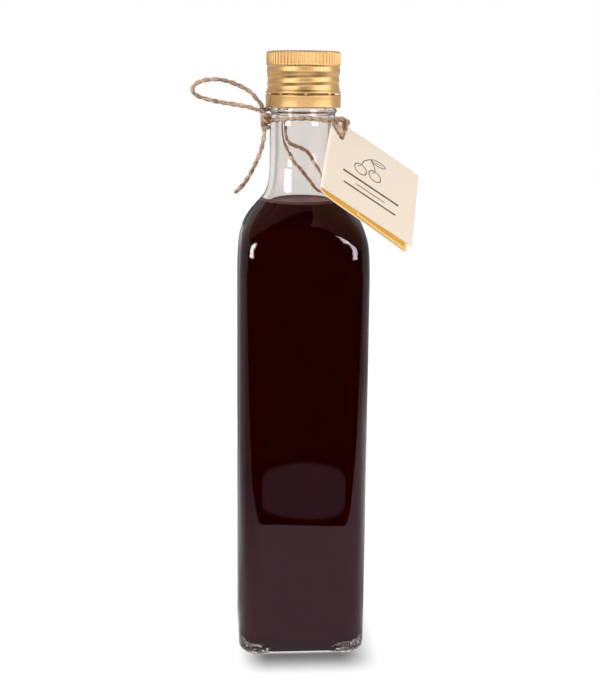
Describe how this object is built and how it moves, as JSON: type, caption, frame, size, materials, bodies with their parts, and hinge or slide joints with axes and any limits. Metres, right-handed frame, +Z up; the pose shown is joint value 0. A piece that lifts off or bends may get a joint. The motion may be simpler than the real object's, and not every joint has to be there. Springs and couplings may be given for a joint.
{
  "type": "cherry syrup bottle",
  "caption": "Square clear glass bottle of dark cherry syrup with a gold screw cap, a jute twine bow round its neck and a folded card tag.",
  "frame": {"origin": "centre of the flat base that the bottle stands on", "axes": "+Z up along the bottle's axis, -Y out of the front face, +X to the right of the front face"},
  "size_m": [0.0983, 0.0746, 0.2623],
  "materials": {
    "clear_glass": "clear, glossy",
    "cherry_syrup": "very dark red liquid",
    "gold_cap": "satin gold lacquered aluminium",
    "jute_twine": "two-ply jute, hairy",
    "card": "matte cream card, orange inside"
  },
  "bodies": {
    "root": {"glass_bottle": "clear_glass", "syrup": "cherry_syrup", "cap": "gold_cap", "twine_neck": "jute_twine", "twine_loop_left": "jute_twine", "twine_tail_left": "jute_twine", "twine_loop_back": "jute_twine", "tag": "card"}
  },
  "joints": []
}
